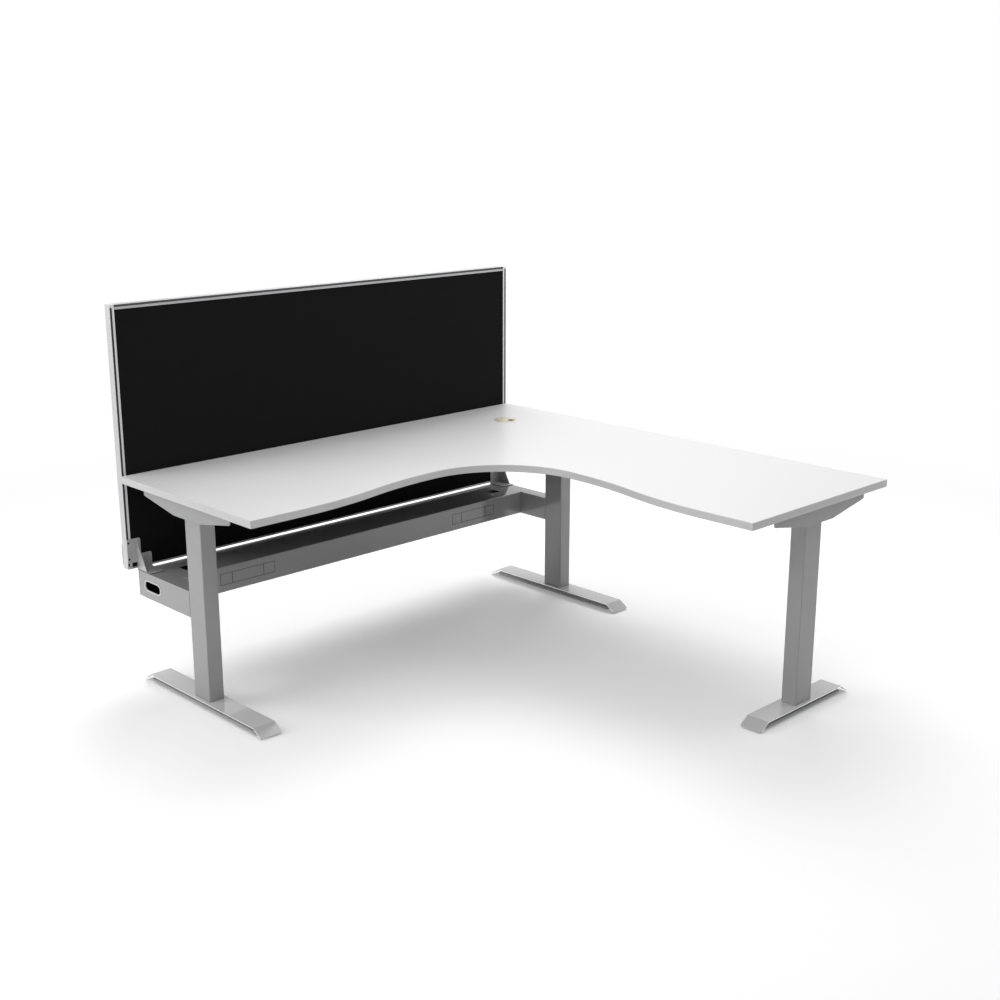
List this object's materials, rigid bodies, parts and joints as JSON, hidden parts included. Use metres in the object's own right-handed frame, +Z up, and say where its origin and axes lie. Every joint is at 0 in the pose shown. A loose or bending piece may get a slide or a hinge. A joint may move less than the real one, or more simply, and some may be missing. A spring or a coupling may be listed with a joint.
{
  "type": "corner workstation",
  "caption": "L-shaped corner desk with a curved inner edge on T-legs, a cable duct behind and an upholstered screen standing on the duct.",
  "frame": {"origin": "on the floor, under the middle of the bounding box", "axes": "+X along the screen towards the corner, +Y from the user to the screen, +Z up"},
  "size_m": [1.8, 1.838, 1.3],
  "materials": {
    "board": "white melamine-faced chipboard",
    "edge": "white ABS edge band",
    "grommet": "satin champagne metal",
    "coat": "silver-grey powder coat on sheet steel and tube",
    "trim": "light grey plastic",
    "profile": "satin anodised",
    "core": "light fibre board",
    "fabric": "black woven cloth",
    "zinc": "zinc-plated steel",
    "glide": "black nylon"
  },
  "bodies": {
    "workstation": {"worktop": "board", "worktop_edge_band": "edge", "grommet_liner": "grommet", "duct_channel": "coat", "duct_bottom_cover": "coat", "left_duct_arm": "coat", "corner_duct_arm": "coat", "left_port_trim": "trim", "corner_port_trim": "trim", "left_outlet_blank": "coat", "right_outlet_blank": "coat", "duct_bolts": "zinc", "duct_cover_screws": "zinc", "screen_top_rail": "profile", "screen_bottom_rail": "profile", "screen_left_stile": "profile", "screen_right_stile": "profile", "screen_corner_blocks": "profile", "screen_board": "core", "screen_front_fabric": "fabric", "screen_rear_fabric": "fabric", "left_screen_bracket": "coat", "right_screen_bracket": "coat", "left_clamp_plate": "coat", "right_clamp_plate": "coat", "screen_slot_nuts": "zinc", "screen_slot_screws": "zinc", "bracket_base_screws": "zinc", "left_column": "coat", "left_top_bracket": "coat", "left_foot_beam": "coat", "left_foot_cover": "coat", "left_bracket_screws": "zinc", "left_leg_bolts": "zinc", "corner_column": "coat", "corner_top_bracket": "coat", "corner_foot_beam": "coat", "corner_foot_cover": "coat", "corner_bracket_screws": "zinc", "corner_leg_bolts": "zinc", "right_column": "coat", "right_top_bracket": "coat", "right_foot_beam": "coat", "right_foot_cover": "coat", "right_bracket_screws": "zinc", "right_leg_bolts": "zinc"},
    "cap": {"grommet_cap": "grommet"},
    "left_front_foot_screw": {"left_front_glide": "glide"},
    "left_rear_foot_screw": {"left_rear_glide": "glide"},
    "corner_front_foot_screw": {"corner_front_glide": "glide"},
    "corner_rear_foot_screw": {"corner_rear_glide": "glide"},
    "right_outer_foot_screw": {"right_outer_glide": "glide"},
    "right_inner_foot_screw": {"right_inner_glide": "glide"}
  },
  "joints": [
    {"name": "cap_turn", "type": "hinge", "parent": "workstation", "child": "cap", "pos_m": [0.657, 0.638, 0.733], "axis": [0, 0, 1], "continuous": true},
    {"name": "left_front_foot_screw_travel", "type": "slide", "parent": "workstation", "child": "left_front_foot_screw", "axis": [0, 0, -1], "range_m": [-0.002, 0.012]},
    {"name": "left_rear_foot_screw_travel", "type": "slide", "parent": "workstation", "child": "left_rear_foot_screw", "axis": [0, 0, -1], "range_m": [-0.002, 0.012]},
    {"name": "corner_front_foot_screw_travel", "type": "slide", "parent": "workstation", "child": "corner_front_foot_screw", "axis": [0, 0, -1], "range_m": [-0.002, 0.012]},
    {"name": "corner_rear_foot_screw_travel", "type": "slide", "parent": "workstation", "child": "corner_rear_foot_screw", "axis": [0, 0, -1], "range_m": [-0.002, 0.012]},
    {"name": "right_outer_foot_screw_travel", "type": "slide", "parent": "workstation", "child": "right_outer_foot_screw", "axis": [0, 0, -1], "range_m": [-0.002, 0.012]},
    {"name": "right_inner_foot_screw_travel", "type": "slide", "parent": "workstation", "child": "right_inner_foot_screw", "axis": [0, 0, -1], "range_m": [-0.002, 0.012]}
  ]
}
